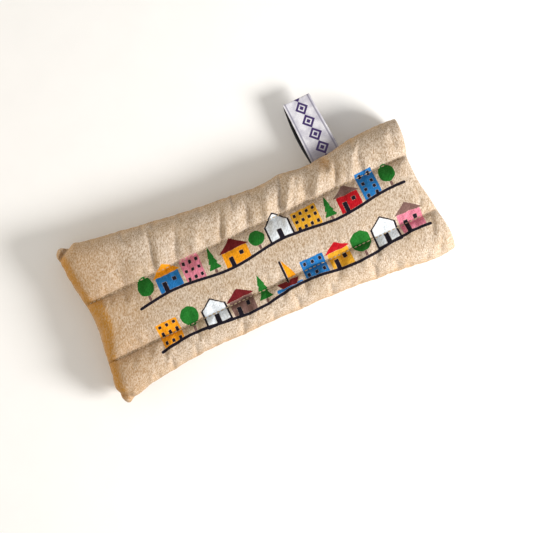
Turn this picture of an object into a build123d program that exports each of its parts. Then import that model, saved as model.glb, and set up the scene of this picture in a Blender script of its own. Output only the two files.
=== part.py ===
from build123d import *
import os

# Soft quilted pouch for glasses, lying on its back. Millimetres.
# X runs from the sewn end (-X) to the open mouth (+X), Y across towards the label, Z up.
# The origin is on the flat resting face, midway between the two quilting lines.

# ---- driving dimensions -------------------------------------------------------------
thickness = 23.0           # whole pouch, empty, at the crown of its padding
seam_gap = 0.3             # clearance between the front and back walls at the side seams
skin = 1.2                 # short-pile plush with its knitted ground
lining = 0.4               # woven lining
side_wall = 5.6            # skin, wadding and lining at the side seams
end_wall = 6.6             # the same at the sewn end
pocket_half = 4.7          # pocket height above and below the seam plane
quilt_line = 15.0          # quilting lines lie this far each side of the X axis
quilt_depth = 3.6          # how far a quilting line pulls the skin in
lobe_shoulder = 12.0       # from a quilting line to the crest of the lobe outside it
side_round = 10.5          # roll of the padding down to the side seams
mouth_round = 3.0          # roll of the turned hem at the mouth
rest_crown = 1.2           # how much of each lobe is flattened by lying on it
thread_r = 0.25
thread_rise = 0.35         # middle of a quilting thread above the bottom of its groove
thread_stop = 1.0          # a quilting thread ends this far before the hem's roll
seam_inset = 2.6           # the hidden seam runs this far inside the outline
seam_thread_side = 0.5
seam_thread_lift = 0.05    # from the wall's inner face to the seam thread
seam_channel_side = 0.7
hem_thread_inset = 4.5     # the hem's seam runs this far behind the mouth
hem_thread_side = 0.3

# Plan outline: the two sewn corners, the two mouth corners and the middle of each side.
sewn_corner_label = (-89.8, 45.4)
sewn_corner_plain = (-90.6, -35.6)
sewn_middle = (-87.3, 4.0)
mouth_corner_label = (88.8, 34.6)
mouth_corner_plain = (88.8, -37.0)
mouth_middle = (85.3, 3.0)
label_side_middle = (8.0, 33.4)
plain_side_middle = (-8.0, -30.8)
sleeve_run_out = 14.0      # the plan outline is drawn this far past the mouth, then trimmed
clear = 200.0              # well outside the pouch, for shapes that only cut others

# Ribbon loop sewn into the side seam.
loop_width = 15.6
loop_x = 50.4
loop_reach = 29.6          # from the seam to the fold
loop_root_y = 33.0         # where the two layers leave the seam
loop_ribbon = 0.45
loop_open = 1.6            # widest space between its two layers
loop_droop = 3.0           # the fold hangs this much lower than the seam

seam_z = thickness / 2
half_height = thickness / 2 - seam_gap / 2


# ---- helper forms, seen from the seam plane outwards ---------------------------------
def beyond(corner, side_point):
    """The point where a side runs out past the mouth, in line with its last stretch."""
    slope = (corner[1] - side_point[1]) / (corner[0] - side_point[0])
    return (corner[0] + sleeve_run_out, corner[1] + 2 * slope * sleeve_run_out)


def sleeve_plan(side_inset, end_inset):
    """Plan of the sewn tube, moved in from its seams, open past the mouth."""
    with BuildSketch() as plan:
        with BuildLine():
            label_end = beyond(mouth_corner_label, label_side_middle)
            plain_end = beyond(mouth_corner_plain, plain_side_middle)
            ThreePointArc(sewn_corner_label, label_side_middle, label_end)
            Line(label_end, plain_end)
            ThreePointArc(plain_end, plain_side_middle, sewn_corner_plain)
            ThreePointArc(sewn_corner_plain, sewn_middle, sewn_corner_label)
        make_face()
        if side_inset > 0:
            offset(amount=-side_inset, kind=Kind.INTERSECTION)
        if end_inset > side_inset:
            with BuildSketch(mode=Mode.PRIVATE) as keep:
                with Locations((sewn_middle[0] + end_inset + clear, 0)):
                    Rectangle(2 * clear, 2 * clear)
            add(keep.sketch, mode=Mode.INTERSECT)
    return plan.sketch


def mouth_plan(inset):
    """Plan of everything on the sewn side of the mouth, moved in by inset."""
    with BuildSketch() as plan:
        with BuildLine():
            label_point = (mouth_corner_label[0] - inset, mouth_corner_label[1])
            plain_point = (mouth_corner_plain[0] - inset, mouth_corner_plain[1])
            middle_point = (mouth_middle[0] - inset, mouth_middle[1])
            ThreePointArc(label_point, middle_point, plain_point)
            Polyline(plain_point, (plain_point[0], -clear), (-clear, -clear), (-clear, clear),
                     (label_point[0], clear), label_point)
        make_face()
    return plan.sketch


def mouth_trim(inset):
    """The mouth's plan as a solid, with the roll of the turned hem."""
    with BuildPart() as trim:
        with BuildSketch():
            add(mouth_plan(inset))
        extrude(amount=half_height - inset)
        hem = trim.edges().filter_by(GeomType.CIRCLE).sort_by(Axis.Z)[-1]
        fillet(hem, radius=mouth_round - inset)
    return trim.part


def lobes(crest, inset):
    """The three padded lobes between the quilting lines, as one long section."""
    top = crest - inset
    groove = top - quilt_depth
    with BuildPart() as rolls:
        with BuildSketch(Plane.YZ.offset(-clear)):
            with BuildLine():
                outer_start = (quilt_line + lobe_shoulder, top)
                outer_end = (-quilt_line - lobe_shoulder, top)
                ThreePointArc((-quilt_line, groove), (0, top), (quilt_line, groove))
                TangentArc(outer_start, (quilt_line, groove), tangent=(-1, 0))
                TangentArc(outer_end, (-quilt_line, groove), tangent=(1, 0))
                Polyline(outer_start, (clear, top), (clear, -thickness), (-clear, -thickness),
                         (-clear, top), outer_end)
            make_face()
        extrude(amount=2 * clear)
    return rolls.part


def half_envelope(crest, inset):
    """Outer form of one wall above the seam plane, moved in by inset."""
    trim = mouth_trim(inset)
    rolls = lobes(crest, inset)
    with BuildPart() as half:
        with BuildSketch():
            add(sleeve_plan(inset, inset))
        extrude(amount=half_height + rest_crown)
        far_x = mouth_corner_label[0]
        top_edges = half.faces().sort_by(Axis.Z)[-1].edges()
        fillet(top_edges.filter_by(lambda e: e.center().X < far_x), radius=side_round - inset)
        add(rolls, mode=Mode.INTERSECT)
        add(trim, mode=Mode.INTERSECT)
    return half.part


def pocket(grow):
    """Half of the pocket's space, open past the mouth, grown by grow."""
    with BuildPart() as space:
        with BuildSketch(Plane.XY.offset(-seam_gap)):
            add(sleeve_plan(side_wall - grow, end_wall - grow))
        extrude(amount=seam_gap + pocket_half - seam_gap / 2 + grow)
    return space.part


def seam_channel(width):
    """A shallow run of the given width that follows the seam round three sides."""
    with BuildPart() as run:
        with BuildSketch():
            add(sleeve_plan(seam_inset - width / 2, 0))
            add(sleeve_plan(seam_inset + width / 2, 0), mode=Mode.SUBTRACT)
        extrude(amount=width)
        with BuildSketch():
            add(mouth_plan(seam_inset))
        extrude(amount=width, mode=Mode.INTERSECT)
    return run.part


def place(solid, side):
    """Stands a half on the seam plane: side 1 is the front wall, -1 the back wall."""
    above = Pos(0, 0, seam_z + seam_gap / 2) * solid
    if side > 0:
        return above
    return mirror(above, about=Plane.XY.offset(seam_z))


# ---- the two walls --------------------------------------------------------------------
def make_wall(name, side, crest):
    """Plush skin, wadding and lining of one wall."""
    outer = half_envelope(crest, 0)
    inner = half_envelope(crest, skin)
    lined = pocket(lining)
    trim = mouth_trim(0)

    with BuildPart() as panel:
        add(outer)
        add(inner, mode=Mode.SUBTRACT)
        add(lined, mode=Mode.SUBTRACT)
    with BuildPart() as wadding:
        add(inner)
        add(lined, mode=Mode.SUBTRACT)
        if side < 0:
            add(seam_channel(seam_channel_side), mode=Mode.SUBTRACT)
    with BuildPart() as liner:
        add(lined)
        add(pocket(0), mode=Mode.SUBTRACT)
        add(trim, mode=Mode.INTERSECT)

    for piece, solid in (("panel", panel), ("wadding", wadding), ("lining", liner)):
        placed = place(solid.part, side)
        placed.label = f"{name}_{piece}"
        export_step(placed, f"parts/{name}_{piece}.step")


os.makedirs("parts", exist_ok=True)
make_wall("front", 1, half_height)
make_wall("back", -1, half_height + rest_crown)


# ---- quilting threads -----------------------------------------------------------------
def make_quilt_thread(name, side, crest, y):
    """One straight row of quilting, from the sewn end's roll to the hem."""
    start_x = sewn_middle[0] + side_round
    end_x = mouth_middle[0] - mouth_round - thread_stop
    height = crest - quilt_depth + thread_rise
    with BuildPart() as thread:
        with BuildSketch(Plane.YZ.offset(start_x)):
            with Locations((y, height)):
                Circle(thread_r)
        extrude(amount=end_x - start_x)
    placed = place(thread.part, side)
    placed.label = name
    export_step(placed, f"parts/{name}.step")


for wall, side, crest in (("front", 1, half_height), ("back", -1, half_height + rest_crown)):
    make_quilt_thread(f"{wall}_quilt_thread_label_side", side, crest, quilt_line)
    make_quilt_thread(f"{wall}_quilt_thread_plain_side", side, crest, -quilt_line)


# ---- seam and hem threads -------------------------------------------------------------
with BuildPart() as seam_thread:
    add(seam_channel(seam_thread_side))
placed_seam = place(Pos(0, 0, seam_thread_lift) * seam_thread.part, -1)
placed_seam.label = "seam_thread"
export_step(placed_seam, "parts/seam_thread.step")


def make_hem_thread(name, side):
    """The row that joins plush and lining just inside the mouth."""
    ceiling = pocket_half - seam_gap / 2
    with BuildPart() as thread:
        with BuildSketch(Plane.XY.offset(ceiling - hem_thread_side)):
            add(mouth_plan(hem_thread_inset))
            add(mouth_plan(hem_thread_inset + hem_thread_side), mode=Mode.SUBTRACT)
        extrude(amount=hem_thread_side)
        add(pocket(0), mode=Mode.INTERSECT)
    placed = place(thread.part, side)
    placed.label = name
    export_step(placed, f"parts/{name}.step")


make_hem_thread("front_hem_thread", 1)
make_hem_thread("back_hem_thread", -1)


# ---- ribbon loop ----------------------------------------------------------------------
fold_y = loop_root_y + loop_reach
fold_z = seam_z - loop_droop
swell_y = loop_root_y + loop_reach / 2
swell_z = seam_z - loop_droop / 2
fold_r = loop_open / 3

with BuildPart() as loop:
    with BuildSketch(Plane.YZ.offset(loop_x - loop_width / 2)):
        with BuildLine() as ribbon_path:
            root = (loop_root_y + loop_ribbon / 2, seam_z)
            upper_fold = (fold_y - fold_r, fold_z + fold_r)
            lower_fold = (fold_y - fold_r, fold_z - fold_r)
            ThreePointArc(root, (swell_y, swell_z + loop_open / 2 + loop_ribbon), upper_fold)
            ThreePointArc(upper_fold, (fold_y, fold_z), lower_fold)
            ThreePointArc(lower_fold, (swell_y, swell_z - loop_open / 2 - loop_ribbon), root)
        trace(line_width=loop_ribbon)
        with Locations((loop_root_y + loop_reach, seam_z)):
            Rectangle(2 * loop_reach, thickness, mode=Mode.INTERSECT)
    extrude(amount=loop_width)
loop.part.label = "label_loop"
export_step(loop.part, "parts/label_loop.step")
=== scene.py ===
"""Looks of a soft quilted pouch for glasses: plush covers, quilting, lining, ribbon loop."""
import math

import bpy
import numpy as np
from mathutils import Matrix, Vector


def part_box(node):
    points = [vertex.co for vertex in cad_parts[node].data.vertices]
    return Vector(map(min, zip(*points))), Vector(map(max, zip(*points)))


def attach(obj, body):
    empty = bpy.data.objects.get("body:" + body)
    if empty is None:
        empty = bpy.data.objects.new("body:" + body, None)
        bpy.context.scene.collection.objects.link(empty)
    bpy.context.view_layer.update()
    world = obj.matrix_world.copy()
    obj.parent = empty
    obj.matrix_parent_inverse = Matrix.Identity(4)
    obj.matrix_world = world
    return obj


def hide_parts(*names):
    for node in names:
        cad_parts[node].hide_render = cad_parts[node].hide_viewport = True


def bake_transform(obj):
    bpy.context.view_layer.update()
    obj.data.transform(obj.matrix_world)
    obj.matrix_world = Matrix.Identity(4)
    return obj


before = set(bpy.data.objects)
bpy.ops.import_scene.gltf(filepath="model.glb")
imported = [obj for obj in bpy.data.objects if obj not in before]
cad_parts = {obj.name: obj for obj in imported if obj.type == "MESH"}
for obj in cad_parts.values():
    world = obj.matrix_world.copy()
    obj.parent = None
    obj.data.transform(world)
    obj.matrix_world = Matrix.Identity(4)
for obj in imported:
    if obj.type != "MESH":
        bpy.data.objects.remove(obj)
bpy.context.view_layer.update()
MM = 0.001
rng = np.random.default_rng(7)

# ---- places, from the frame ----
FRONT_LOW, FRONT_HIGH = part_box("front_panel")
LOOP_LOW, LOOP_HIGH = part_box("label_loop")
THREAD_LOW, THREAD_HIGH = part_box("front_quilt_thread_label_side")
SEAM_Z = (FRONT_LOW[2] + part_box("back_panel")[1][2]) / 2
HALF = FRONT_HIGH[2] - SEAM_Z
QUILT_Y = (THREAD_LOW[1] + THREAD_HIGH[1]) / 2
POCKET_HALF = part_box("front_lining")[1][2] - SEAM_Z

# ---- sizes of the soft shape ----
QUILT_DEPTH = 4.3 * MM   # how far a quilting line pulls the plush in
QUILT_CREASE = 1.0 * MM  # half-width of the sharp crease along it
QUILT_REACH = 8.0 * MM   # how far the padding beside it is drawn down
SIDE_ROLL = 10.5 * MM    # roll of the padding down to the side seams
END_ROLL = 9.0 * MM      # the same at the sewn end
SIDE_WALL = 5.6 * MM     # from the outside to the lining at the side seams
END_WALL = 7.0 * MM
POCKET_ROLL = 4.5 * MM
LIP = 3.0 * MM           # roll of the turned hem at the mouth
TURN_IN = 5.0 * MM       # plush turned into the pocket, as far as the hem's stitches
SEAM_DRAW = 0.9 * MM     # how far the seam is drawn in between the two walls
SEAM_DRAW_HEIGHT = 1.2 * MM
SKIN = 2.6 * MM          # plush, and the room it has to sink into

# Outline in plan, millimetres: a few points on each side, joined by a smooth curve.
LABEL_SIDE = ((-91, 46.2), (-86.4, 46.2), (-82.2, 44.5), (-79.6, 45.8), (-76.6, 45.1), (-71, 44.3),
              (-56.5, 42.0), (-47, 40.4), (-10, 35.3), (14, 33.0), (27, 33.3), (37, 32.0), (50, 32.5),
              (61, 34.1), (76, 34.8), (90, 33.8))
PLAIN_SIDE = ((-91, -36.4), (-88, -37.3), (-84.6, -35.6), (-80.0, -34.9), (-74, -33.6), (-61, -31.8),
              (-10, -30.9), (28, -32.2), (54, -34.4), (78, -37.0), (90, -36.2))
SEWN_END = ((-37.5, -88.9), (-35.2, -89.8), (-32.5, -90.3), (-30.4, -90.1), (-28.4, -90.6), (-21, -89.9),
            (-12, -88.9), (3, -86.9), (10, -86.7), (20, -88.0), (32, -89.2), (39, -89.4), (43.4, -89.9),
            (46, -88.6))
MOUTH_END = ((-37, 88.4), (-28, 89.3), (-16, 87.9), (-7, 86.6), (0, 85.5), (9, 85.2), (13.5, 85.3),
             (17.7, 86.6), (27.5, 88.4), (35, 89.1))


def smooth_curve(points):
    """A function through the points, with slopes as a cubic Hermite curve has them."""
    p = np.array(points, float) * MM
    slope = np.gradient(p[:, 1], p[:, 0])

    def at(x):
        x = np.clip(x, p[0, 0], p[-1, 0])
        i = np.clip(np.searchsorted(p[:, 0], x) - 1, 0, len(p) - 2)
        step = p[i + 1, 0] - p[i, 0]
        t = (x - p[i, 0]) / step
        return ((1 + 2 * t) * (1 - t) ** 2 * p[i, 1] + t * (1 - t) ** 2 * step * slope[i]
                + t * t * (3 - 2 * t) * p[i + 1, 1] - t * t * (1 - t) * step * slope[i + 1])

    return at


label_edge, plain_edge = smooth_curve(LABEL_SIDE), smooth_curve(PLAIN_SIDE)
sewn_edge, mouth_edge = smooth_curve(SEWN_END), smooth_curve(MOUTH_END)


def quarter(t):
    """Height of a quarter circle at t, from 0 at its foot to 1 at its top."""
    return np.sqrt(np.clip(1 - (1 - np.clip(t, 0, 1)) ** 2, 0, 1))


def soft_step(t):
    t = np.clip(t, 0, 1)
    return t * t * (3 - 2 * t)


# ---- smooth random fields ----
WAVES = 14


def ripple(seed, length):
    """A smooth random function of plan place, with waves about length long in many directions."""
    r = np.random.default_rng(seed)
    angle = r.normal(0, 1.2, WAVES)
    k = 2 * math.pi / (length * r.uniform(0.7, 1.5, WAVES))
    phase = r.uniform(0, 2 * math.pi, WAVES)

    def at(x, y):
        total = np.zeros_like(x)
        for a, f, p in zip(angle, k, phase):
            total += np.sin(f * (x * math.cos(a) + y * math.sin(a)) + p)
        return total / math.sqrt(WAVES)

    return at


# ---- the soft shell ----
BAND_FLAT = 11       # rows of faces from a quilting line to the start of the side roll
BAND_ROLL = 14       # rows down the side roll
MIDDLE = 34          # rows between the quilting lines
END_COLUMNS = 12     # columns round the sewn end's roll
LONG_COLUMNS = 200
LIP_COLUMNS = 8
TURN_COLUMNS = 4
ROUGH_START = -0.09  # metres: a first guess of the grid's X, which shell_grid makes exact
ROUGH_RUN = 0.178


def row_stations():
    """For each row: which band it is in, and how far across it."""
    flat = np.linspace(0, 1, BAND_FLAT + 1)
    roll = np.linspace(0, 1, BAND_ROLL + 1)[1:]
    band = [("roll", t) for t in roll[::-1]] + [("flat", t) for t in flat[::-1]]
    rows = [(-1, kind, t) for kind, t in band]
    rows += [(0, "middle", t) for t in np.linspace(-1, 1, MIDDLE + 1)[1:-1]]
    rows += [(1, kind, t) for kind, t in band[::-1]]
    return rows


ROWS = row_stations()
QUILT_ROWS = [i for i, r in enumerate(ROWS) if r[1] == "flat" and r[2] == 0]


def row_places(x, inset, roll):
    """Y of every grid point, and its distance from its seam, for a shell moved in by inset."""
    y, edge = np.zeros_like(x), np.ones_like(x)
    for i, (side, kind, t) in enumerate(ROWS):
        if side == 0:
            y[i] = t * QUILT_Y
            continue
        far = (label_edge(x[i]) if side > 0 else -plain_edge(x[i])) - inset
        shoulder = far - roll
        if kind == "flat":
            reach = QUILT_Y + (shoulder - QUILT_Y) * t
        else:
            reach = shoulder + roll * np.sin(t * math.pi / 2)
        y[i] = side * reach
        edge[i] = far - reach
    return y, edge


def column_x(y, t, start_inset, end_inset):
    """X at share t of the way from the sewn end to the mouth, for rows at y."""
    return (sewn_edge(y) + start_inset) * (1 - t) + (mouth_edge(y) - end_inset) * t


def shell_grid(columns, inset, roll, start_inset, end_inset):
    """Plan places of a grid of rows by columns, and each point's distance from its side seam."""
    t = np.array(columns)
    x = np.tile(ROUGH_START + ROUGH_RUN * t, (len(ROWS), 1))
    for _ in range(4):
        y, edge = row_places(x, inset, roll)
        x = column_x(y, t[None, :], start_inset, end_inset)
    return x, y, edge


def sewn_columns(roll, count, reach):
    """Shares of the length, close together round the sewn end's roll."""
    angle = np.linspace(0, math.pi / 2, count + 1)
    first = roll * (1 - np.cos(angle)) / reach
    return list(first) + list(np.linspace(first[-1], 1, LONG_COLUMNS + 1)[1:])


REACH = 176 * MM
COLUMNS = sewn_columns(END_ROLL, END_COLUMNS, REACH)

long_wander = ripple(17, 42 * MM)
LEAN_SPREAD = 0.12


def pleats(seed, count, span, lean, reach, width, height, busy=None):
    """Soft folds that start at a sewn line, lean to one side and die away from it."""
    r = np.random.default_rng(seed)
    step = (span[1] - span[0]) / count
    start = (span[0] + step * (np.arange(count) + r.uniform(0, 1, count))) * MM
    lean = r.normal(lean, LEAN_SPREAD, count)
    reach, width, height = (r.uniform(*limits, count) * MM for limits in (reach, width, height))
    height *= np.where(np.arange(count) % 2, 1, -1)
    if busy is not None:
        height *= busy(start / MM)

    def at(along, out):
        total = np.zeros_like(along)
        for place, slant, far, wide, high in zip(start, lean, reach, width, height):
            t = np.clip(out / far, 0, 1)
            fade = soft_step(0.2 + out / (1.5 * MM)) * (1 - soft_step(t))
            across = (along - place - slant * out) / (wide * (0.8 + 0.6 * t))
            total += high * fade * np.exp(-across ** 2)
        return total

    return at


def busy_label(x):
    """How crowded and deep the folds are along the label's side."""
    return 0.3 + 0.7 * soft_step((x + 58) / 22) * soft_step((88 - x) / 26)


def busy_plain(x):
    return 0.45 + 0.55 * soft_step((x + 30) / 50)


def busy_seam(x):
    """The plain side's seam is pulled tightest near the sewn end."""
    return 1 + 0.9 * soft_step((-52 - x) / 16)


LENGTH = (-88, 86)
WIDTH = (-35, 45)
label_pleats = pleats(31, 21, LENGTH, 0.45, (18, 30), (2.0, 3.3), (1.4, 2.6), busy_label)
label_puckers = pleats(32, 54, LENGTH, 0.4, (4, 11), (0.8, 1.6), (0.2, 0.55), busy_label)
plain_pleats = pleats(33, 17, LENGTH, -0.4, (10, 18), (1.7, 3.2), (0.8, 1.7), busy_plain)
plain_puckers = pleats(34, 54, LENGTH, -0.35, (4, 8), (0.8, 1.5), (0.14, 0.36), busy_plain)
inner_label_puckers = pleats(35, 50, LENGTH, -0.4, (2.5, 7), (0.9, 1.8), (0.08, 0.26))
inner_plain_puckers = pleats(36, 50, LENGTH, 0.4, (2.5, 7), (0.9, 1.8), (0.08, 0.28))
label_seam_puckers = pleats(37, 44, LENGTH, -0.3, (3, 9), (0.9, 2.0), (0.12, 0.42))
plain_seam_puckers = pleats(38, 44, LENGTH, 0.3, (3, 9), (0.9, 2.0), (0.3, 0.85), busy_seam)
end_seam_puckers = pleats(39, 20, WIDTH, 0.1, (3, 8), (0.9, 2.0), (0.08, 0.28))

# Folds that set off the pointed corners at the sewn end, each from one side to the other.
EAR_FOLDS = (((-81.4, 45.4), (-88.8, 40.0)), ((-90.4, -30.4), (-84.3, -35.6)))
EAR_FOLD_WIDTH = 1.1 * MM
EAR_FOLD_SHARE = 0.6                   # how much of the height the fold takes
LABEL_HOLLOW = (47.2 * MM, 29.4 * MM)  # where the seam pulls at the ribbon's root
LABEL_HOLLOW_SIZE = 3.6 * MM
LABEL_HOLLOW_DEPTH = 2.2 * MM
WANDER = 0.22 * MM                     # slow unevenness of the padding
BACK_FOLDS = 0.35                      # share of the folds that the pressed back shows
PINCH_SHARP = 0.62                     # shares of QUILT_DEPTH in the crease and beside it
PINCH_WIDE = 0.3
SEAM_PUCKER_RISE = 2 * MM              # puckers at a seam reach full height over this


def ear_share(x, y):
    """Share of the height left where the corners are folded off."""
    share = np.ones_like(x)
    for (ax, ay), (bx, by) in EAR_FOLDS:
        run = math.hypot(bx - ax, by - ay)
        off = ((x / MM - ax) * (by - ay) - (y / MM - ay) * (bx - ax)) / run * MM
        share *= 1 - EAR_FOLD_SHARE * np.exp(-(off / EAR_FOLD_WIDTH) ** 2)
    return share


def near_hollow(x, y):
    off = np.hypot(x - LABEL_HOLLOW[0], y - LABEL_HOLLOW[1])
    return np.exp(-(off / LABEL_HOLLOW_SIZE) ** 2)


def outer_height(x, y, edge, sewn, flat_back):
    """Height of the plush above the seam plane."""
    gap = np.abs(np.abs(y) - QUILT_Y)
    slack = 1 - np.clip(gap / QUILT_REACH, 0, 1)
    pinch = QUILT_DEPTH * (PINCH_SHARP * np.exp(-gap / QUILT_CREASE) + PINCH_WIDE * slack ** 2)
    label_band, plain_band = y > QUILT_Y, y < -QUILT_Y
    middle = ~(label_band | plain_band)
    folds = WANDER * long_wander(x, y)
    folds += label_band * (label_pleats(x, gap) + label_puckers(x, gap))
    folds += plain_band * (plain_pleats(x, gap) + plain_puckers(x, gap))
    folds += middle * inner_label_puckers(x, QUILT_Y - y)
    folds += middle * inner_plain_puckers(x, y + QUILT_Y)
    folds -= LABEL_HOLLOW_DEPTH * near_hollow(x, y)
    height = HALF - pinch + folds * (BACK_FOLDS if flat_back else 1.0)
    height *= quarter(sewn / END_ROLL) * ear_share(x, y)
    height *= np.where(edge >= 1.0, 1.0, quarter(edge / SIDE_ROLL))
    side_puckers = label_band * label_seam_puckers(x, edge) + plain_band * plain_seam_puckers(x, edge)
    height += soft_step(edge / SEAM_PUCKER_RISE) * side_puckers
    height += soft_step(sewn / SEAM_PUCKER_RISE) * end_seam_puckers(y, sewn)
    height = np.maximum(height, 0)
    if flat_back:
        height = np.minimum(height, SEAM_Z)
    return height


def wall_grid(side):
    """Points of one wall's cover: over the padding, round the hem and into the pocket."""
    x, y, edge = shell_grid(COLUMNS, 0, SIDE_ROLL, 0, LIP)
    sewn = np.clip(x - sewn_edge(y), 0, None)
    z = outer_height(x, y, edge, sewn, side < 0)
    drawn = SEAM_DRAW * np.exp(-z / SEAM_DRAW_HEIGHT)
    x_drawn = x + drawn * np.exp(-sewn / END_ROLL)
    y_drawn = y - drawn * np.sign(y) * np.exp(-edge / SIDE_ROLL)
    outer = np.stack([x_drawn, y_drawn, SEAM_Z + side * z], -1)
    inner = pocket_grid([1.0 - TURN_IN / REACH * k / TURN_COLUMNS for k in range(TURN_COLUMNS + 1)],
                        side, LIP)
    middle = (outer[:, -1] + inner[:, 0]) / 2
    parts = [outer]
    for k in range(1, LIP_COLUMNS):
        a = math.pi * k / LIP_COLUMNS
        ring = middle + (outer[:, -1] - middle) * math.cos(a)
        ring[:, 0] += LIP * math.sin(a)
        turned = ((1 - math.cos(a)) / 2) ** 2
        ring[:, 1] = outer[:, -1, 1] * (1 - turned) + inner[:, 0, 1] * turned
        parts.append(ring[:, None])
    parts.append(inner)
    return np.concatenate(parts, 1)


def pocket_grid(columns, side, end_inset, grow=0.0):
    """Points of the pocket's surface, grown outwards into the padding by grow."""
    x, y, edge = shell_grid(columns, SIDE_WALL - grow, POCKET_ROLL, END_WALL, end_inset)
    height = (POCKET_HALF + grow) * np.where(edge >= 1.0, 1.0, quarter(edge / POCKET_ROLL))
    return np.stack([x, y, SEAM_Z + side * height], -1)


# ---- meshes ----
def grid_faces(rows, columns, flip):
    index = np.arange(rows * columns).reshape(rows, columns)
    quads = np.stack([index[:-1, :-1], index[:-1, 1:], index[1:, 1:], index[1:, :-1]], -1)
    quads = quads.reshape(-1, 4)
    return quads[:, ::-1] if flip else quads


def new_object(name, points, faces, smooth=True):
    mesh = bpy.data.meshes.new(name)
    mesh.from_pydata([tuple(p) for p in points], [], [tuple(int(i) for i in f) for f in faces])
    mesh.update()
    if smooth:
        mesh.polygons.foreach_set("use_smooth", [True] * len(mesh.polygons))
    obj = bpy.data.objects.new(name, mesh)
    bpy.context.scene.collection.objects.link(obj)
    return obj


def grid_object(name, grid, flip):
    rows, columns = grid.shape[:2]
    return new_object(name, grid.reshape(-1, 3), grid_faces(rows, columns, flip))


def set_vectors(obj, name, values):
    layer = obj.data.attributes.new(name, "FLOAT_VECTOR", "POINT")
    layer.data.foreach_set("vector", np.asarray(values, np.float32).ravel())


def read_vectors(items, key):
    values = np.zeros(len(items) * 3, np.float32)
    items.foreach_get(key, values)
    return values.reshape(-1, 3).astype(float)


def get_vectors(obj, name):
    return read_vectors(obj.data.attributes[name].data, "vector")


def set_floats(obj, name, values):
    layer = obj.data.attributes.new(name, "FLOAT", "POINT")
    layer.data.foreach_set("value", np.asarray(values, np.float32).ravel())


def points_of(obj):
    return read_vectors(obj.data.vertices, "co")


def set_points(obj, points):
    obj.data.vertices.foreach_set("co", np.asarray(points, np.float32).ravel())
    obj.data.update()


def keep_above_floor(obj):
    points = points_of(obj)
    points[:, 2] = np.maximum(points[:, 2], 0)
    set_points(obj, points)


def apply_modifiers(obj):
    """The mesh as its modifiers show it becomes the object's own."""
    graph = bpy.context.evaluated_depsgraph_get()
    made = bpy.data.meshes.new_from_object(obj.evaluated_get(graph), preserve_all_data_layers=True,
                                           depsgraph=graph)
    old = obj.data
    name = old.name
    obj.modifiers.clear()
    obj.data = made
    bpy.data.meshes.remove(old)
    made.name = name


def subdivide(obj):
    modifier = obj.modifiers.new("smooth", "SUBSURF")
    modifier.levels = modifier.render_levels = 1
    modifier.boundary_smooth = "PRESERVE_CORNERS"
    apply_modifiers(obj)


# ---- cloth simulation of a cover ----
CLOTH_SCALE = 10.0  # simulated ten times as large, where the solver is at its best
CLOTH_FRAMES = 18
CLOTH_CAP = 1.6 * MM


def relax_cloth(obj, held):
    """Fills the cover like a pad: it swells, and its spare cloth buckles into puckers."""
    rest = points_of(obj)
    copy = obj.copy()
    copy.data = obj.data.copy()
    bpy.context.scene.collection.objects.link(copy)
    set_points(copy, rest * CLOTH_SCALE)
    group = copy.vertex_groups.new(name="held")
    group.add([int(i) for i in np.nonzero(held)[0]], 1.0, "REPLACE")
    cloth = copy.modifiers.new("cloth", "CLOTH")
    s = cloth.settings
    s.quality = 5
    s.mass = 0.3
    s.air_damping = 4
    s.tension_stiffness = s.compression_stiffness = 12
    s.shear_stiffness = 4
    s.bending_stiffness = 1.5
    s.use_pressure = True
    s.uniform_pressure_force = 3.0
    s.shrink_min = -0.035
    s.vertex_group_mass = "held"
    s.effector_weights.gravity = 0
    cloth.collision_settings.use_collision = False
    cloth.point_cache.frame_start = 1
    cloth.point_cache.frame_end = CLOTH_FRAMES
    scene = bpy.context.scene
    for number in range(1, CLOTH_FRAMES + 1):
        scene.frame_set(number)
    moved = points_of(copy.evaluated_get(bpy.context.evaluated_depsgraph_get())) / CLOTH_SCALE
    scene.frame_set(1)
    mesh = copy.data
    bpy.data.objects.remove(copy)
    bpy.data.meshes.remove(mesh)
    shift = moved - rest
    length = np.linalg.norm(shift, axis=1, keepdims=True)
    capped = CLOTH_CAP * np.tanh(length / CLOTH_CAP)
    set_points(obj, rest + shift * capped / np.maximum(length, 1e-9))


def held_points(shape):
    """1 where the cover is sewn, 0 where it's free, for a grid of rows by columns."""
    held = np.zeros(shape)
    held[0] = held[-1] = 1
    held[:, :2] = 1
    held[:, len(COLUMNS) - 1:] = 1
    held[QUILT_ROWS] = 1
    return held.ravel()


# Painted golden shade on the plush: where it rolls down to the sewn end and the side seams, fading along
# the pouch, and at the ribbon's root.
SHADE_END = 6.0 * MM       # the painted golden shade is at half strength this far from the sewn end
SHADE_MIDDLE = 3.8 * MM    # further in the middle lobe, less so towards the plain side
SHADE_MIDDLE_START = -16 * MM
SHADE_MIDDLE_RUN = 18 * MM
SHADE_END_FADE = 4.8 * MM
SHADE_FOOT = 2.5 * MM      # less painted shade right at the end seam
SHADE_FOOT_SHARE = 0.6
SHADE_CORNER = 8 * MM      # and less painted shade near the corners
SHADE_CORNER_SHARE = 0.3
SHADE_SIDE = 4 * MM        # along the side seams
SHADE_SIDE_SHARE = 0.4
SHADE_LONG = 46 * MM       # a faint painted shade that fades along the pouch
SHADE_LONG_SHARE = 0.44
SHADE_HOLLOW_SHARE = 0.65  # at the ribbon's root
SHADE_STOP = 70 * MM       # none near the mouth
SHADE_STOP_FADE = 15 * MM


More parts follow.
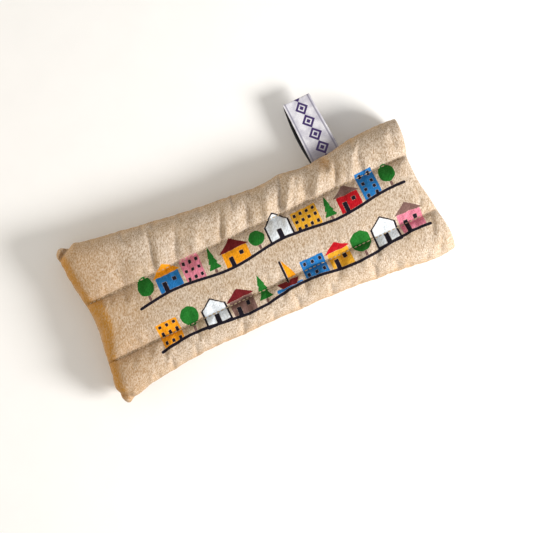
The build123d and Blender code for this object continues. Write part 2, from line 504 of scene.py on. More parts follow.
def mark_painted_shade(obj):
    """Marks how strong the painted golden shade is on the shaded bends down to the seams and at the
    ribbon's root, from 0 to 1.
    """
    rest = get_vectors(obj, "rest")
    x, y = rest[:, 0], rest[:, 1]
    from_end = x - sewn_edge(y)
    from_side = np.minimum(label_edge(x) - y, y - plain_edge(x))
    middle = (np.abs(y) < QUILT_Y) * soft_step((y - SHADE_MIDDLE_START) / SHADE_MIDDLE_RUN)
    reach = SHADE_END + SHADE_MIDDLE * middle
    end_shade = 1 - soft_step((from_end - reach) / SHADE_END_FADE + 0.5)
    end_shade *= SHADE_FOOT_SHARE + (1 - SHADE_FOOT_SHARE) * soft_step(from_end / SHADE_FOOT)
    end_shade *= SHADE_CORNER_SHARE + (1 - SHADE_CORNER_SHARE) * soft_step(from_side / SHADE_CORNER)
    painted_shade = np.maximum(end_shade, SHADE_SIDE_SHARE * (1 - soft_step(from_side / SHADE_SIDE)))
    painted_shade = np.maximum(painted_shade, SHADE_LONG_SHARE * (1 - soft_step(from_end / SHADE_LONG)))
    painted_shade = np.maximum(painted_shade, SHADE_HOLLOW_SHARE * near_hollow(x, y) * (rest[:, 2] > SEAM_Z))
    set_floats(obj, "painted_shade", painted_shade * (1 - soft_step((x - SHADE_STOP) / SHADE_STOP_FADE)))


def make_cover(name, side, node):
    grid = wall_grid(side)
    obj = grid_object(name, grid, side < 0)
    set_vectors(obj, "rest", grid)
    relax_cloth(obj, held_points(grid.shape[:2]))
    keep_above_floor(obj)
    subdivide(obj)
    keep_above_floor(obj)
    mark_painted_shade(obj)
    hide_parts(node)
    return obj


# ---- the print: flat motifs as distances, millimetres in plan ----
# These functions give distances from a shape, which are negative inside a closed one.
def box(u, v, cx, cy, w, h, corner=0.0):
    dx, dy = np.abs(u - cx) - w / 2 + corner, np.abs(v - cy) - h / 2 + corner
    return np.hypot(np.maximum(dx, 0), np.maximum(dy, 0)) + np.minimum(np.maximum(dx, dy), 0) - corner


def off_chain(u, v, points):
    """Distance from a chain of straight pieces."""
    best = np.full_like(u, 1e3)
    for (ax, ay), (bx, by) in zip(points, points[1:]):
        dx, dy = bx - ax, by - ay
        t = np.clip(((u - ax) * dx + (v - ay) * dy) / max(dx * dx + dy * dy, 1e-9), 0, 1)
        best = np.minimum(best, np.hypot(u - ax - t * dx, v - ay - t * dy))
    return best


def polygon(u, v, points):
    ring = (*points, points[0])
    inside = np.zeros(u.shape, bool)
    for (ax, ay), (bx, by) in zip(ring, ring[1:]):
        rise = (by - ay) or 1e-9
        inside ^= ((ay > v) != (by > v)) & (u < (bx - ax) * (v - ay) / rise + ax)
    return np.where(inside, -1, 1) * off_chain(u, v, ring)


def oval(u, v, cx, cy, rx, ry):
    return (np.hypot((u - cx) / rx, (v - cy) / ry) - 1) * min(rx, ry)


FULL_TURN = 6.28  # radians, near enough


def wavy(u, v, seed, size, length=3.0):
    """A hand-cut wobble of that size, added to a distance."""
    r = np.random.default_rng(seed)
    a, b = r.uniform(0, FULL_TURN, 2)
    across = np.sin(v * FULL_TURN / (1.13 * length) + b)
    return size * (np.sin(u * FULL_TURN / length + a) + across) / 2


def rgb(red, green, blue):
    """An sRGB colour from 0 to 255 as linear RGBA."""
    linear = [(c / 255 / 12.92) if c / 255 <= 0.04045 else ((c / 255 + 0.055) / 1.055) ** 2.4
              for c in (red, green, blue)]
    return (*linear, 1.0)


INK_COLOURS = {
    "blue": rgb(28, 106, 168), "orange": rgb(218, 142, 12), "yellow": rgb(204, 150, 36),
    "green": rgb(22, 100, 30), "pink": rgb(200, 116, 136), "mauve": rgb(112, 84, 78),
    "maroon": rgb(98, 16, 22), "red": rgb(170, 8, 24), "white": rgb(208, 214, 220),
    "navy": rgb(16, 11, 26),
}


class Print:
    """Distances for each ink. A later motif of any ink covers what is under it."""

    def __init__(self, u, v):
        self.u, self.v = u, v
        self.ink = {name: np.full_like(u, 50.0) for name in INK_COLOURS}

    def lay(self, name, distance):
        """Prints a shape in an ink, over what is there."""
        for other in INK_COLOURS:
            if other != name:
                self.ink[other] = np.maximum(self.ink[other], 0.05 - distance)
        self.ink[name] = np.minimum(self.ink[name], distance)

    def box(self, ink, *args, **more):
        self.lay(ink, box(self.u, self.v, *args, **more))

    def line(self, ink, width, *points):
        self.lay(ink, off_chain(self.u, self.v, points) - width / 2)

    def shape(self, ink, *points, soft=0.0):
        """A filled outline, with its corners rounded by soft."""
        self.lay(ink, polygon(self.u, self.v, points) - soft)

    def oval(self, ink, *args, wobble=0.0, seed=0):
        self.lay(ink, oval(self.u, self.v, *args) + wavy(self.u, self.v, seed, wobble))


GROUND_SWING = 1.3  # a row's ground line waves by this much
GROUND_WAVE = 58.0  # and over this length
ROW_START = -60.0   # both rows begin here, towards the sewn end
ROW_GAP = 1.7       # between neighbours in a row
ROW_TALLER = 1.15   # stretches every height in a row
UPPER_LEVEL = 2.5   # where the row on the label side stands
LOWER_LEVEL = -20.5
GROUND_LINE = 1.4   # width of the ground line
GROUND_POINTS = 24  # the line is a smooth curve through this many points
GROUND_PIECES = 8   # and this many straight pieces between two of them
TRUNK = 1.3
ROOF_PITCH = 0.4    # height of a roof as a share of the house's width
EAVES = 0.8
DOOR = 2.2
WINDOW = 2.0
OUTLINE = 0.5       # half-width of the dark line round a white house


def house(p, u, v, w, h, wall, roof):
    """A plain house with a pointed roof, a door and a window; u, v is the middle of its foot."""
    p.box(wall, u, v + h / 2, w, h, corner=0.3)
    half = w / 2 + EAVES
    p.shape(roof, (u - half, v + h), (u, v + h + ROOF_PITCH * w), (u + half, v + h), soft=0.2)
    p.box("navy", u - 0.22 * w, v + 0.3 * h, DOOR, 0.6 * h, corner=0.2)
    p.box("navy", u + 0.22 * w, v + 0.6 * h, WINDOW, WINDOW, corner=0.2)


def white_house(p, u, v, w, h):
    """The same house in white, with a dark outline."""
    for ink, edge in (("navy", OUTLINE), ("white", -OUTLINE)):
        half = w / 2 + edge
        p.shape(ink, (u - half, v - edge), (u - half, v + h), (u, v + h + ROOF_PITCH * w + edge),
                (u + half, v + h), (u + half, v - edge))
    p.box("navy", u, v + 0.3 * h, 2.4, 0.6 * h, corner=0.2)


def block(p, u, v, w, h, wall):
    """A flat-roofed block with rows of square windows."""
    p.box(wall, u, v + h / 2, w, h, corner=0.3)
    columns, floors = int(w / 3.2), int(h / 3.4)
    for i in range(columns):
        for j in range(floors):
            p.box("navy", u + w * ((i + 0.5) / columns - 0.5), v + h * (j + 0.5) / floors, 1.5, 1.7)


def round_tree(p, u, v, w, h):
    p.line("mauve", TRUNK, (u, v), (u, v + 0.6 * h))
    p.oval("green", u, v + 0.65 * h, w / 2, 0.38 * h, wobble=0.15, seed=int(w + h))


def fir_tree(p, u, v, w, h):
    p.line("mauve", TRUNK, (u, v), (u, v + 0.3 * h))
    for share in (0.2, 0.42, 0.64):
        half = w * (1.05 - share) / 2
        foot = v + share * h
        p.shape("green", (u - half, foot), (u, v + (share + 0.38) * h), (u + half, foot), soft=0.15)


def boat(p, u, v, w, h):
    """A small boat with one sail, on water."""
    p.box("blue", u, v + 0.9, w, 1.8, corner=0.6)
    p.shape("maroon", (u - 0.38 * w, v + 3.8), (u + 0.38 * w, v + 3.8), (u + 0.26 * w, v + 1.5),
            (u - 0.26 * w, v + 1.5), soft=0.2)
    p.line("navy", 1.05, (u, v + 3.6), (u, v + h))
    p.shape("orange", (u + 0.9, v + 4.8), (u + 0.9, v + h), (u + 0.34 * w, v + 4.8), soft=0.15)


UPPER_ROW = ((round_tree, 8, 11), (house, 12, 8, "blue", "orange"), (block, 10, 11, "pink"),
             (fir_tree, 7, 12), (house, 13, 7.5, "orange", "maroon"), (round_tree, 8, 9),
             (white_house, 12, 7.5), (block, 13, 9.5, "yellow"), (fir_tree, 7, 11),
             (house, 11, 8, "red", "mauve"), (block, 9, 12, "blue"), (round_tree, 8, 10))
LOWER_ROW = ((block, 11, 10, "orange"), (round_tree, 9, 11), (white_house, 12, 7),
             (house, 12, 7, "mauve", "maroon"), (fir_tree, 8, 12), (boat, 14, 12), (block, 12, 8, "blue"),
             (house, 11, 7.5, "yellow", "red"), (round_tree, 10, 11), (white_house, 12, 7.5),
             (house, 12, 8, "pink", "mauve"))


def print_row(p, level, things):
    """Stands the things side by side on a waving ground line."""
    def ground(u):
        return level + GROUND_SWING * math.sin(2 * math.pi * u / GROUND_WAVE)

    u = ROW_START
    for draw, w, h, *inks in things:
        draw(p, u + w / 2, ground(u + w / 2), w, ROW_TALLER * h, *inks)
        u += w + ROW_GAP
    line = smooth_curve([(x, ground(x)) for x in np.linspace(ROW_START - 2, u, GROUND_POINTS)])
    x = np.linspace(ROW_START - 2, u, GROUND_PIECES * (GROUND_POINTS - 1) + 1)
    p.line("navy", GROUND_LINE, *zip(x, line(x * MM) / MM))


def generic_print(p):
    """Two rows of plain houses and trees, which stand in for the real case's picture."""
    print_row(p, UPPER_LEVEL, UPPER_ROW)
    print_row(p, LOWER_LEVEL, LOWER_ROW)


PRINT_LIFT = 1.5   # the print starts this far above the seam
PRINT_STOP = 84.0  # and ends here, before the mouth's hem
INK_FAR = 5.0      # distances are kept up to this


def print_inks(obj):
    rest = get_vectors(obj, "rest") / MM
    inks = Print(rest[:, 0], rest[:, 1])
    generic_print(inks)
    facing = (rest[:, 2] > SEAM_Z / MM + PRINT_LIFT) & (rest[:, 0] < PRINT_STOP)
    for name, distance in inks.ink.items():
        set_floats(obj, "ink_" + name, np.where(facing, np.clip(distance, -INK_FAR, INK_FAR), INK_FAR))


# ---- lining, wadding and threads ----
HEM_SHARE = TURN_IN / REACH * 0.8  # the hem's stitches, as a share of the length
LINING_GROW = 0.12 * MM            # the lining lies this far behind the turned plush
LINING_SAG = 0.25                  # millimetres
WADDING_TOP = 1.4 * MM             # least thickness of the wadding over the pocket
WADDING_GROW = 1.1 * MM            # room between lining and wadding
# length, gap and radius of the stitches in each kind of row
QUILT_STITCH = (1.75 * MM, 0.55 * MM, 0.3 * MM)
HEM_STITCH = (2.4 * MM, 0.6 * MM, 0.24 * MM)
SEAM_STITCH = (2.3 * MM, 0.5 * MM, 0.22 * MM)
QUILT_START, QUILT_STOP = -84.5 * MM, 83.5 * MM
SEAM_START, SEAM_STOP = -86 * MM, 83 * MM
SEAM_INSET = 2.6 * MM
STITCH_LIFT = 0.05 * MM
STITCH_FLOOR = 0.35 * MM  # no quilting stitch lies lower than this over the floor
SEAM_STITCH_DROP = 0.35 * MM


def make_lining(name, side, node):
    """The pocket's lining: one cloth, sewn to the turned hem, closed at the sewn end."""
    columns = list(np.linspace(1 - HEM_SHARE, 0.012, 110)) + [0.006, 0.0]
    grid = pocket_grid(columns, side, LIP, grow=LINING_GROW)
    sag = LINING_SAG * ripple(23 + side, 16 * MM)(grid[..., 0], grid[..., 1]) * MM
    edge_hold = np.clip(np.abs(grid[..., 2] - SEAM_Z) / POCKET_HALF, 0, 1)
    grid[..., 2] += side * sag * edge_hold * soft_step((np.arange(grid.shape[1]) / 10))[None, :]
    end = grid[:, -1:].copy()
    seam = end.copy()
    seam[..., 2] = SEAM_Z
    grid = np.concatenate([grid] + [end * (1 - k) + seam * k for k in (0.34, 0.67, 1.0)], 1)
    obj = grid_object(name, grid, side < 0)
    set_vectors(obj, "rest", grid)
    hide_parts(node)
    return obj


def make_wadding(name, side, node):
    """The fibre between plush and lining, quilted with them."""
    columns = sewn_columns(END_ROLL, END_COLUMNS, REACH)[::2] + [1.0]
    x, y, edge = shell_grid(columns, SKIN, SIDE_ROLL - SKIN, SKIN, LIP + SKIN)
    sewn = np.clip(x - sewn_edge(y) - SKIN, 0, None)
    z = outer_height(x, y, edge, sewn, side < 0) - SKIN * quarter(sewn / END_ROLL)
    over_pocket = (edge > SIDE_WALL) & (sewn > END_WALL)
    z = np.where(over_pocket, np.maximum(z, POCKET_HALF + WADDING_TOP), np.clip(z, 0, None))
    outer = np.stack([x, y, SEAM_Z + side * z], -1)
    inner = pocket_grid(columns[::-1], side, LIP + SKIN, grow=WADDING_GROW)
    grid = np.concatenate([outer, inner], 1)
    obj = grid_object(name, grid, side < 0)
    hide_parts(node)
    return obj


def stitch_row(name, path, up, stitch, node):
    """A row of separate stitches along a path of points: each a short bowed strand."""
    length, gap, radius = stitch
    path, up = np.array(path, float), np.array(up, float)
    steps = np.linalg.norm(np.diff(path, axis=0), axis=1)
    along = np.concatenate([[0], np.cumsum(steps)])
    sides, rings = 6, 5
    points, faces = [], []

    def at(s, rows):
        return np.array([np.interp(s, along, rows[:, c]) for c in range(3)])

    start = 0.3 * gap
    while start + length < along[-1]:
        base = len(points)
        wobble = rng.normal(0, 0.05 * length, 2)
        for k in range(rings):
            t = k / (rings - 1)
            s = start + length * t
            centre, normal = at(s, path), at(s, up)
            normal /= np.linalg.norm(normal)
            forward = at(s + 0.2 * length, path) - centre
            forward /= max(np.linalg.norm(forward), 1e-9)
            across = np.cross(normal, forward)
            bow = math.sin(math.pi * t)
            size = radius * (0.35 + 0.65 * bow ** 0.5)
            middle = centre + normal * radius * (bow - 0.35) + across * wobble[0] * (t - 0.5)
            for j in range(sides):
                a = 2 * math.pi * j / sides
                points.append(middle + size * (across * math.cos(a) + 0.8 * normal * math.sin(a)))
        for k in range(rings - 1):
            for j in range(sides):
                a, b = base + k * sides + j, base + k * sides + (j + 1) % sides
                faces.append((a, b, b + sides, a + sides))
        faces.append(tuple(base + j for j in range(sides))[::-1])
        faces.append(tuple(base + (rings - 1) * sides + j for j in range(sides)))
        start += length + gap
    obj = new_object(name, points, faces)
    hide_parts(node)
    return obj


def surface_line(obj, y, low_x, high_x, side):
    """Heights of a cover along a line of constant Y."""
    points = points_of(obj)
    outer = side * (points[:, 2] - SEAM_Z) > POCKET_HALF + 0.8 * MM
    near = points[outer & (np.abs(points[:, 1] - y) < 0.45 * MM)]
    near = near[np.argsort(near[:, 0])]
    x = np.arange(low_x, high_x, 0.6 * MM)
    z = np.interp(x, near[:, 0], near[:, 2])
    return np.stack([x, np.full_like(x, y), z], -1)


def make_quilting(wall, side, cover, sign, place):
    path = surface_line(cover, sign * QUILT_Y, QUILT_START, QUILT_STOP, side)
    path[:, 2] += side * STITCH_LIFT
    path[:, 2] = np.maximum(path[:, 2], STITCH_FLOOR)
    up = np.tile((0, 0, side), (len(path), 1))
    return stitch_row(f"{wall}_quilting_{place}", path, up, QUILT_STITCH, f"{wall}_quilt_thread_{place}")


def make_hem_stitches(wall, side):
    ring = pocket_grid([1 - HEM_SHARE], side, LIP)[:, 0]
    path = ring[np.abs(ring[:, 2] - SEAM_Z) > 0.7 * POCKET_HALF]
    path = path[np.argsort(path[:, 1])]
    path[:, 2] -= side * STITCH_LIFT
    up = np.tile((0, 0, -side), (len(path), 1))
    return stitch_row(f"{wall}_hem_stitches", path, up, HEM_STITCH, f"{wall}_hem_thread")


def make_seam_stitches():
    """The hidden seam that runs round three sides, just inside the outline."""
    x_side = np.linspace(SEAM_START, SEAM_STOP, 120)
    label = np.stack([x_side, label_edge(x_side) - SEAM_INSET], -1)
    plain = np.stack([x_side, plain_edge(x_side) + SEAM_INSET], -1)
    y_end = np.linspace(plain[0, 1], label[0, 1], 60)
    end = np.stack([sewn_edge(y_end) + SEAM_INSET, y_end], -1)
    plan = np.concatenate([plain[::-1], end[1:-1], label])
    path = np.concatenate([plan, np.full((len(plan), 1), SEAM_Z - SEAM_STITCH_DROP)], 1)
    up = np.tile((0, 0, 1), (len(path), 1))
    return stitch_row("seam_stitches", path, up, SEAM_STITCH, "seam_thread")


# ---- ribbon loop ----
RIBBON_PEEK = 1.5 * MM   # how far the lower layer shows beside the upper one
RIBBON_LEAN = 1.4 * MM   # how far the fold leans towards the sewn end
RIBBON_NARROW = 0.08     # share of its width lost where it curls across
RIBBON_THICK = 0.3 * MM
RIBBON_TUCK = 2.2 * MM   # how far its ends run into the seam
RIBBON_DROOP = 0.9 * MM  # how far the fold hangs below the middle of the CAD loop
RIBBON_BELLY = 1.1 * MM  # half the space between its two layers
RIBBON_FOLD = 0.55 * MM  # radius of the fold
RIBBON_APART = 0.16 * MM
RIBBON_CUP = 0.5 * MM
RIBBON_FLUTTER = 0.14 * MM


def make_ribbon():
    """A woven satin ribbon folded into a loop; its two ends are caught in the side seam."""
    root = np.array((LOOP_LOW[1] - RIBBON_TUCK, SEAM_Z))
    fold = np.array((LOOP_HIGH[1], (LOOP_LOW[2] + LOOP_HIGH[2]) / 2 - RIBBON_DROOP))
    t = np.linspace(0, 1, 40)
    sag = root[1] + (fold[1] - root[1]) * soft_step(t * 0.9 + 0.05)
    bulge = RIBBON_BELLY * np.sin(math.pi * np.clip(t * 1.02, 0, 1)) ** 0.8 + RIBBON_FOLD * t ** 3
    y = root[0] + (fold[0] - root[0] - RIBBON_FOLD) * t
    upper = np.stack([y, sag + bulge + RIBBON_APART], -1)
    lower = np.stack([y, sag - bulge * 0.85 - RIBBON_APART], -1)
    turn = np.linspace(math.pi / 2, -math.pi / 2, 9)[1:-1]
    tip_centre = (upper[-1] + lower[-1]) / 2
    tip_size = (upper[-1, 1] - lower[-1, 1]) / 2
    tip = tip_centre + tip_size * np.stack([np.cos(turn), np.sin(turn)], -1)
    line = np.concatenate([upper, tip, lower[::-1]])
    aside = np.concatenate([np.zeros(len(upper) + len(tip)),
                            RIBBON_PEEK * np.sin(math.pi * (0.08 + 0.92 * t[::-1])) ** 0.7])
    along = np.gradient(line, axis=0)
    outward = np.stack([-along[:, 1], along[:, 0]], -1) / np.linalg.norm(along, axis=1, keepdims=True)
    steps = np.concatenate([[0], np.cumsum(np.linalg.norm(np.diff(line, axis=0), axis=1))])
    share = steps / steps[-1]
    across = np.linspace(-1, 1, 27)
    width = LOOP_HIGH[0] - LOOP_LOW[0]
    narrow = 1 - RIBBON_NARROW * np.sin(math.pi * share) ** 2
    cup = RIBBON_CUP * across[None, :] ** 2 * np.sin(math.pi * share)[:, None]
    flutter = RIBBON_FLUTTER * np.sin(7 * share[:, None] + 2.2 * across[None, :])
    grid = np.zeros((len(line), len(across), 3))
    lean = RIBBON_LEAN * np.clip((line[:, 0] - LOOP_LOW[1]) / (fold[0] - LOOP_LOW[1]), 0, 1)
    grid[..., 0] = ((LOOP_HIGH[0] + LOOP_LOW[0]) / 2 + across * width / 2 * narrow[:, None]
                    - (aside + lean)[:, None])
    grid[..., 1] = line[:, :1]
    grid[..., 2] = line[:, 1:] + cup + flutter
    obj = grid_object("ribbon_loop", grid, False)
    place = np.zeros_like(grid)
    place[..., 0] = across * width / 2
    place[..., 1] = steps[:, None] - steps[-1] / 2
    set_vectors(obj, "ribbon", place)
    set_vectors(obj, "core", grid)
    out = np.zeros_like(grid)
    out[..., 1:] = outward[:, None]
    set_vectors(obj, "outward", out)
    solid = obj.modifiers.new("cloth", "SOLIDIFY")
    solid.thickness = RIBBON_THICK
    solid.offset = 0
    apply_modifiers(obj)
    off = ((points_of(obj) - get_vectors(obj, "core")) * get_vectors(obj, "outward")).sum(1)
    set_floats(obj, "reverse", (off < 0).astype(float))
    subdivide(obj)
    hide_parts("label_loop")
    return obj


# ---- materials ----
class Material:
    """A node material, built with short calls."""

    def __init__(self, name):
        self.material = bpy.data.materials.new(name)
        self.material.use_nodes = True
        self.tree = self.material.node_tree
        self.shader = self.tree.nodes["Principled BSDF"]

    def node(self, kind, settings=None, **inputs):
        made = self.tree.nodes.new("ShaderNode" + kind)
        for key, value in (settings or {}).items():
            setattr(made, key, value)
        for key, value in inputs.items():
            self.put(made, key, value)
        return made

    def put(self, node, key, value):
        numbered = key[0] == "i" and key[1:].isdigit()
        socket = node.inputs[int(key[1:]) if numbered else key.replace("_", " ")]
        if isinstance(value, bpy.types.NodeSocket):
            self.tree.links.new(value, socket)
        else:
            socket.default_value = value

    def attribute(self, name, output):
        return self.node("Attribute", {"attribute_name": name}).outputs[output]

    def noise(self, vector, scale, detail=2.0, roughness=0.5, distortion=0.0):
        return self.node("TexNoise", None, Vector=vector, Scale=scale, Detail=detail,
                         Roughness=roughness, Distortion=distortion).outputs[0]

    def wave(self, direction, vector, scale, **more):
        made = self.node("TexWave", {"bands_direction": direction}, Vector=vector, Scale=scale, **more)
        return made.outputs[1]

    def spread(self, value, low, high, to_low=0.0, to_high=1.0, smooth=False):
        made = self.node("MapRange", {"interpolation_type": "SMOOTHSTEP" if smooth else "LINEAR"})
        for index, number in enumerate((value, low, high, to_low, to_high)):
            self.put(made, f"i{index}", number)
        return made.outputs[0]

    def mix(self, factor, a, b):
        made = self.node("Mix", {"data_type": "RGBA"})
        self.put(made, "i0", factor)
        self.put(made, "i6", a)
        self.put(made, "i7", b)
        return made.outputs[2]

    def math(self, operation, a, b=0.0, c=0.0):
        made = self.node("Math", {"operation": operation})
        for index, value in enumerate((a, b, c)):
            self.put(made, f"i{index}", value)
        return made.outputs[0]

    def bump(self, height, distance, strength=1.0, before=None):
        made = self.node("Bump", None, Height=height, Distance=distance, Strength=strength)
        if before is not None:
            self.put(made, "Normal", before)
        return made.outputs[0]

    def finish(self, **inputs):
        for key, value in inputs.items():
            self.put(self.shader, key, value)
        return self.material


PILE_TURN = 0.44  # the pile is brushed across the pouch and a little towards the mouth
TUFT_DARK, TUFT_LIGHT = rgb(140, 114, 85), rgb(203, 187, 169)
PILE_TIP = rgb(222, 210, 196)
PATCH = rgb(170, 138, 94)
# Golden colour of the painted shade on the plush's rolls and at the ribbon's root.
PAINTED_GOLDEN_SHADE = rgb(172, 120, 38)
CREASE_SHADE = rgb(96, 66, 34)
INK_FRAY = 0.22   # millimetres by which the pile roughens the print's edges
INK_SOFT = 0.1    # half the width over which an ink fades out


def plush_material(name, printed):
    """Short brushed pile on a knitted ground; the print lies on its tips."""
    m = Material(name)
    place = m.attribute("rest", "Vector")
    turned = m.node("Mapping", None, Vector=place, Rotation=(0, 0, PILE_TURN)).outputs[0]
    combed = m.node("Mapping", None, Vector=turned, Scale=(1.0, 0.42, 1.0)).outputs[0]
    pile = m.noise(combed, 4200.0, detail=1.0, roughness=0.5)
    tufts = m.noise(combed, 1900.0, detail=2.0, roughness=0.55, distortion=0.2)
    patches = m.noise(place, 110.0, detail=3.0, roughness=0.55)
    base = m.mix(m.spread(tufts, 0.34, 0.68, smooth=True), TUFT_DARK, TUFT_LIGHT)
    base = m.mix(m.spread(pile, 0.4, 0.72, 0.0, 0.6), base, PILE_TIP)
    base = m.mix(m.spread(patches, 0.4, 0.7, 0.0, 0.25), base, PATCH)
    # Painted golden shade, mixed in where the plush's rolls are shaded and broken up by the tufts.
    golden_shade_mask = m.math("MULTIPLY", m.attribute("painted_shade", "Fac"), m.spread(tufts, 0.34, 0.68, 1.0, 0.65))
    base = m.mix(golden_shade_mask, base, PAINTED_GOLDEN_SHADE)
    # Painted shade: the plush is darkened along the quilting lines and the seam, where the creases are
    # shaded.
    split = m.node("SeparateXYZ", None, Vector=place)
    off_line = m.math("SUBTRACT", m.math("ABSOLUTE", split.outputs[1]), float(QUILT_Y))
    gap = m.math("ABSOLUTE", off_line)
    off_seam = m.math("ABSOLUTE", m.math("SUBTRACT", split.outputs[2], float(SEAM_Z)))
    crease = m.math("MAXIMUM", m.spread(gap, 0.15 * MM, 0.7 * MM, 0.55, 0.0, smooth=True),
                    m.spread(off_seam, 0.15 * MM, 0.8 * MM, 0.8, 0.0, smooth=True))
    crease_shade_mask = m.math("MULTIPLY", crease, m.spread(tufts, 0.3, 0.62, 1.0, 0.35))
    base = m.mix(crease_shade_mask, base, CREASE_SHADE)
    if printed:
        fray = m.math("MULTIPLY_ADD", pile, INK_FRAY, -INK_FRAY / 2)
        for ink, dye in INK_COLOURS.items():
            distance = m.math("ADD", m.attribute("ink_" + ink, "Fac"), fray)
            mask = m.spread(distance, INK_SOFT, -INK_SOFT, smooth=True)
            worn = tuple(min(1.0, 1.2 * c + 0.006) for c in dye[:3]) + (1.0,)
            deep = tuple(0.78 * c for c in dye[:3]) + (1.0,)
            ink_colour = m.mix(m.spread(tufts, 0.34, 0.68), deep, worn)
            base = m.mix(mask, base, ink_colour)
    coarse = m.bump(tufts, 0.0003, 0.6)
    fine = m.bump(pile, 0.00015, 0.6, coarse)
    rough = m.spread(pile, 0.3, 0.8, 0.82, 0.98)
    return m.finish(Base_Color=base, Roughness=rough, Normal=fine, Sheen_Weight=0.06,
                    Sheen_Roughness=0.5, Sheen_Tint=rgb(255, 240, 218), Specular_IOR_Level=0.1)


THREAD_RUN = 0.07  # the lining's noise is this much slower along its threads


def lining_material():
    m = Material("woven_lining")
    place = m.attribute("rest", "Vector")
    split = m.node("SeparateXYZ", None, Vector=place)
    girth = m.math("ADD", split.outputs[1], split.outputs[2])
    long_way = m.node("CombineXYZ", None, X=m.math("MULTIPLY", split.outputs[0], THREAD_RUN), Y=girth)
    cross_way = m.node("CombineXYZ", None, X=split.outputs[0], Y=m.math("MULTIPLY", girth, THREAD_RUN))
    warp, weft = (m.noise(way.outputs[0], 1500.0, detail=1.0) for way in (long_way, cross_way))
    weave = m.math("ADD", warp, weft)
    slub = m.noise(place, 260.0, detail=3.0)
    colour = m.mix(m.spread(weave, 0.75, 1.25), rgb(152, 128, 100), rgb(194, 170, 138))
    colour = m.mix(m.spread(slub, 0.4, 0.7, 0.0, 0.4), colour, rgb(170, 142, 108))
    return m.finish(Base_Color=colour, Roughness=m.spread(slub, 0.3, 0.7, 0.75, 0.92),
                    Normal=m.bump(weave, 0.00016, 0.6), Sheen_Weight=0.2)


def thread_material():
    m = Material("beige_thread")
    place = m.node("TexCoord").outputs["Object"]
    ply = m.wave("DIAGONAL", place, 1500.0, Distortion=0.6)
    fuzz = m.noise(place, 2600.0, detail=2.0)
    colour = m.mix(m.spread(ply, 0.2, 0.8), rgb(152, 124, 88), rgb(206, 186, 154))
    colour = m.mix(m.spread(fuzz, 0.4, 0.7, 0.0, 0.35), colour, rgb(172, 146, 108))
    return m.finish(Base_Color=colour, Roughness=m.spread(fuzz, 0.3, 0.7, 0.5, 0.75),
                    Normal=m.bump(ply, 0.00008, 0.6), Sheen_Weight=0.2)


def wadding_material():
    m = Material("white_fibre")
    place = m.node("TexCoord").outputs["Object"]
    strands = m.noise(place, 700.0, detail=4.0, roughness=0.7, distortion=2.0)
    colour = m.mix(strands, rgb(214, 210, 200), rgb(248, 247, 242))
    return m.finish(Base_Color=colour, Roughness=m.spread(strands, 0.3, 0.7, 0.85, 1.0),
                    Normal=m.bump(strands, 0.0004, 0.7), Sheen_Weight=0.4)


def ribbon_material():
    """White satin with woven edges; large purple lozenges stand for its mark. Its back faces are painted
    near-black, as painted shade inside the loop.
    """
    m = Material("satin_ribbon")
    place = m.attribute("ribbon", "Vector")
    split = m.node("SeparateXYZ", None, Vector=place)
    across, along = split.outputs[0], split.outputs[1]
    warp = m.wave("X", place, 620.0, Distortion=0.8)
    rib = m.wave("Y", place, 300.0, Distortion=1.2)
    cloud = m.noise(place, 200.0, detail=3.0)
    colour = m.mix(m.spread(warp, 0.2, 0.8), rgb(196, 195, 204), rgb(238, 238, 244))
    # Painted shade: broad noise patches turn the satin grey-lavender, standing in for its uneven shading.
    colour = m.mix(m.spread(cloud, 0.4, 0.62, 0.0, 0.75), colour, rgb(172, 170, 186))
    # Painted shade: darker towards both ends, where the pouch shades the ribbon's root.
    shaded = m.spread(m.math("ABSOLUTE", along), 21 * MM, 31 * MM, 0.0, 0.6, smooth=True)
    colour = m.mix(shaded, colour, rgb(112, 106, 124))
    off_edge = m.math("ABSOLUTE", m.math("SUBTRACT", m.math("ABSOLUTE", across), 6.6 * MM))
    selvedge = m.spread(off_edge, 0.5 * MM, 0.25 * MM, 0.0, 0.8)
    colour = m.mix(selvedge, colour, rgb(122, 120, 140))
    cell = m.math("PINGPONG", m.math("ADD", along, 0.2), 3.6 * MM)
    lozenge = m.math("ADD", m.math("ABSOLUTE", m.math("SUBTRACT", across, 0.5 * MM)), cell)
    ring = m.math("ABSOLUTE", m.math("SUBTRACT", lozenge, 2.9 * MM))
    mark = m.spread(ring, 0.85 * MM, 0.68 * MM)
    centre = m.spread(lozenge, 1.35 * MM, 1.15 * MM)
    marks = m.math("MAXIMUM", mark, centre)
    colour = m.mix(marks, colour, rgb(52, 30, 92))
    # Painted shade: the back faces are near-black, standing in for the shade between the loop's two
    # layers.
    colour = m.mix(m.attribute("reverse", "Fac"), colour, rgb(12, 10, 18))
    weave = m.math("ADD", m.math("MULTIPLY", warp, 0.5), rib)
    return m.finish(Base_Color=colour, Roughness=m.spread(cloud, 0.3, 0.7, 0.28, 0.42),
                    Anisotropic=0.6, Normal=m.bump(weave, 0.00007, 0.55), Specular_IOR_Level=0.5,
                    Sheen_Weight=0.1)


def paint(obj, material):
    obj.data.materials.clear()
    obj.data.materials.append(material)


# ---- making the pouch ----
WALLS = (("front", 1), ("back", -1))

plush_front = plush_material("printed_plush", True)
plush_back = plush_material("plain_plush", False)
woven = lining_material()
thread = thread_material()
fibre = wadding_material()
satin = ribbon_material()

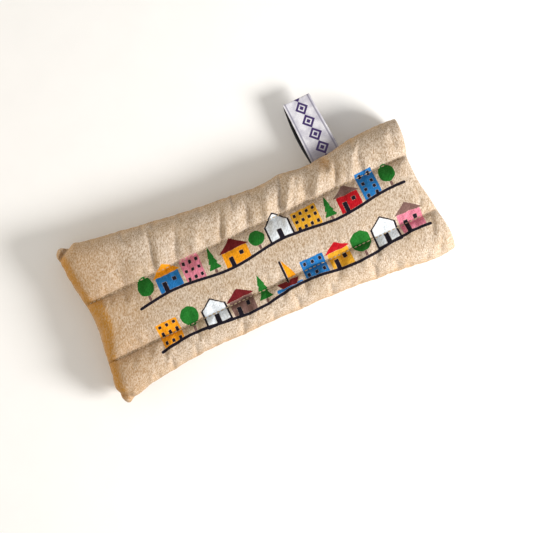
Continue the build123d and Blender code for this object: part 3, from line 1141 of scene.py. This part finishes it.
covers = {wall: make_cover(f"{wall}_cover", side, f"{wall}_panel") for wall, side in WALLS}
linings = {wall: make_lining(f"{wall}_lining_cloth", side, f"{wall}_lining") for wall, side in WALLS}
pads = {wall: make_wadding(f"{wall}_fibre_pad", side, f"{wall}_wadding") for wall, side in WALLS}
print_inks(covers["front"])
for pieces, looks in ((covers, (plush_front, plush_back)), (linings, (woven, woven)),
                      (pads, (fibre, fibre))):
    for piece, look in zip(pieces.values(), looks):
        paint(piece, look)
    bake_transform(pieces["front"])
    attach(pieces["back"], "back_wall")

for wall, side in WALLS:
    for sign, place in ((1, "label_side"), (-1, "plain_side")):
        row = make_quilting(wall, side, covers[wall], sign, place)
        paint(row, thread)
        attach(row, f"{wall}_wall")
    hem = make_hem_stitches(wall, side)
    paint(hem, thread)
    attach(hem, f"{wall}_wall")

seam = make_seam_stitches()
paint(seam, thread)
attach(seam, "back_wall")

ribbon = make_ribbon()
paint(ribbon, satin)
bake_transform(ribbon)

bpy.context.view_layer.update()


# ---- floor, light and camera ----
FLOOR = 3.0  # metres from the middle to each edge


def make_floor():
    corners = [(-FLOOR, -FLOOR, 0), (FLOOR, -FLOOR, 0), (FLOOR, FLOOR, 0), (-FLOOR, FLOOR, 0)]
    floor = new_object("floor", corners, [(0, 1, 2, 3)], smooth=False)
    m = Material("pale_paper")
    place = m.node("TexCoord").outputs["Object"]
    grain = m.noise(place, 60.0, detail=3.0)
    tone = m.mix(grain, (0.84, 0.84, 0.84, 1), (0.88, 0.88, 0.88, 1))
    paint(floor, m.finish(Base_Color=tone, Roughness=m.spread(grain, 0.3, 0.7, 0.85, 0.95)))


def area_light(name, place, size, power, colour):
    """A round light that faces the origin."""
    data = bpy.data.lights.new(name, "AREA")
    data.shape = "DISK"
    data.size = size
    data.energy = power
    data.color = colour
    obj = bpy.data.objects.new(name, data)
    bpy.context.scene.collection.objects.link(obj)
    obj.location = place
    obj.rotation_euler = (-place).to_track_quat("-Z", "Y").to_euler()


VIEW_TURN = math.radians(25.2)
RIGHT = Vector((math.cos(VIEW_TURN), -math.sin(VIEW_TURN), 0))
UP = Vector((math.sin(VIEW_TURN), math.cos(VIEW_TURN), 0))
VIEW_CENTRE = Vector((1.1 * MM, -5.1 * MM, SEAM_Z))
VIEW_WIDTH = 261 * MM
CAMERA_HEIGHT = 0.85
SENSOR = 36
WORLD_COLOUR, WORLD_STRENGTH = (1.0, 0.99, 0.975, 1), 0.56
KEY_SIZE, KEY_POWER, KEY_COLOUR = 0.26, 6.2, (1.0, 0.975, 0.94)
FILL_SIZE, FILL_POWER, FILL_COLOUR = 0.6, 2.1, (1.0, 0.8, 0.48)


def make_camera():
    data = bpy.data.cameras.new("camera")
    data.sensor_width = SENSOR
    data.lens = SENSOR * CAMERA_HEIGHT / VIEW_WIDTH
    camera = bpy.data.objects.new("camera", data)
    bpy.context.scene.collection.objects.link(camera)
    camera.location = VIEW_CENTRE + Vector((0, 0, CAMERA_HEIGHT))
    camera.rotation_euler = (0, 0, -VIEW_TURN)
    bpy.context.scene.camera = camera


def make_light():
    bpy.context.scene.view_settings.view_transform = "Standard"
    world = bpy.data.worlds.new("studio")
    bpy.context.scene.world = world
    world.use_nodes = True
    sockets = world.node_tree.nodes["Background"].inputs
    sockets[0].default_value, sockets[1].default_value = WORLD_COLOUR, WORLD_STRENGTH
    key_place = RIGHT * 0.54 + UP * -0.16 + Vector((0, 0, 0.35))
    fill_place = RIGHT * -0.7 + UP * 0.05 + Vector((0, 0, 0.2))
    area_light("key", key_place, KEY_SIZE, KEY_POWER, KEY_COLOUR)
    area_light("fill", fill_place, FILL_SIZE, FILL_POWER, FILL_COLOUR)


make_floor()
make_light()
make_camera()
